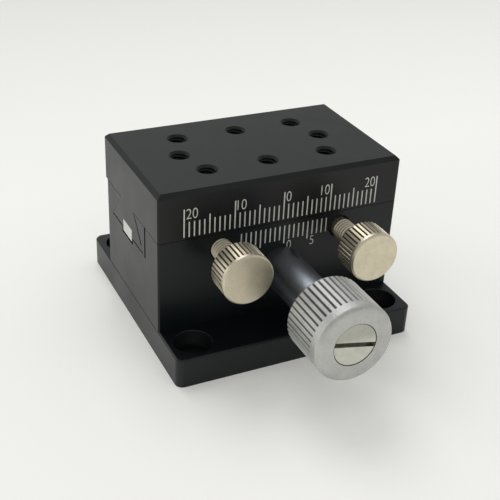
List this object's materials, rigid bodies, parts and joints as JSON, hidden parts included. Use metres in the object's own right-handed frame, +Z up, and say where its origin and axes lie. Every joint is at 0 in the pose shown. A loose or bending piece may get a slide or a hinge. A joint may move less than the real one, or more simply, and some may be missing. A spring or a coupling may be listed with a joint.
{
  "type": "linear translation stage",
  "caption": "Dovetail rack-and-pinion linear stage on a square base, with a knurled drive knob, engraved travel scale and flexure clamp thumbscrews.",
  "frame": {"origin": "centre of the underside of the base plate", "axes": "X is the direction of travel, the drive knob points to -Y, +Z is up, out of the carriage's mounting face"},
  "size_m": [0.05, 0.0684, 0.0345],
  "materials": {
    "black_anodised_body": "satin black anodised, machined",
    "black_anodised_carriage": "satin black anodised, machined, engraved scale",
    "black_anodised_base": "satin black anodised plate",
    "black_gloss_sleeve": "gloss black tube",
    "blasted_steel": "bead blasted silver, knurled",
    "turned_nickel": "warm turned nickel",
    "polished_steel": "turned and polished",
    "ground_steel": "ground steel",
    "hardened_steel": "hardened steel",
    "black_oxide_screw": "black oxide",
    "bronze": "sintered bronze",
    "spring_steel": "spring steel",
    "nylon_pad": "natural nylon"
  },
  "bodies": {
    "stage_base": {"base_plate": "black_anodised_base", "stage_body": "black_anodised_body", "body_screws": "black_oxide_screw", "dowel_pins": "ground_steel", "travel_stop_pin": "hardened_steel", "shaft_sleeve": "black_gloss_sleeve", "front_bush": "bronze", "rear_bush": "bronze", "sleeve_set_screw": "black_oxide_screw"},
    "carriage": {"carriage": "black_anodised_carriage", "rack": "ground_steel", "rack_screws": "black_oxide_screw"},
    "drive_shaft": {"pinion_shaft": "ground_steel", "pinion": "hardened_steel", "knob": "blasted_steel", "knob_screw": "polished_steel", "thrust_washer": "bronze", "disc_spring": "spring_steel"},
    "clamp_pad_left": {"clamp_pad_left": "nylon_pad"},
    "clamp_screw_left": {"clamp_screw_left": "turned_nickel"},
    "clamp_pad_right": {"clamp_pad_right": "nylon_pad"},
    "clamp_screw_right": {"clamp_screw_right": "turned_nickel"}
  },
  "joints": [
    {"name": "carriage_slide", "type": "slide", "parent": "stage_base", "child": "carriage", "axis": [1, 0, 0], "range_m": [-0.02, 0.02]},
    {"name": "drive_spin", "type": "hinge", "parent": "stage_base", "child": "drive_shaft", "pos_m": [0, 0, 0.01545], "axis": [0, 1, 0], "range_deg": [-382.5, 382.5]},
    {"name": "clamp_feed_left", "type": "slide", "parent": "stage_base", "child": "clamp_pad_left", "axis": [0, -1, 0], "range_m": [0, 0.0021]},
    {"name": "clamp_turn_left", "type": "hinge", "parent": "clamp_pad_left", "child": "clamp_screw_left", "pos_m": [-0.0125, 0, 0.0216], "axis": [0, -1, 0], "range_deg": [0, 1081]},
    {"name": "clamp_feed_right", "type": "slide", "parent": "stage_base", "child": "clamp_pad_right", "axis": [0, -1, 0], "range_m": [-0.0014, 0.0007]},
    {"name": "clamp_turn_right", "type": "hinge", "parent": "clamp_pad_right", "child": "clamp_screw_right", "pos_m": [0.0125, 0, 0.0216], "axis": [0, -1, 0], "range_deg": [-721, 361]}
  ],
  "couplings": [
    {"joint": "drive_spin", "follows": "carriage_slide", "rad_per_m": 333.33},
    {"joint": "clamp_turn_left", "follows": "clamp_feed_left", "rad_per_m": 8976},
    {"joint": "clamp_turn_right", "follows": "clamp_feed_right", "rad_per_m": 8976}
  ]
}
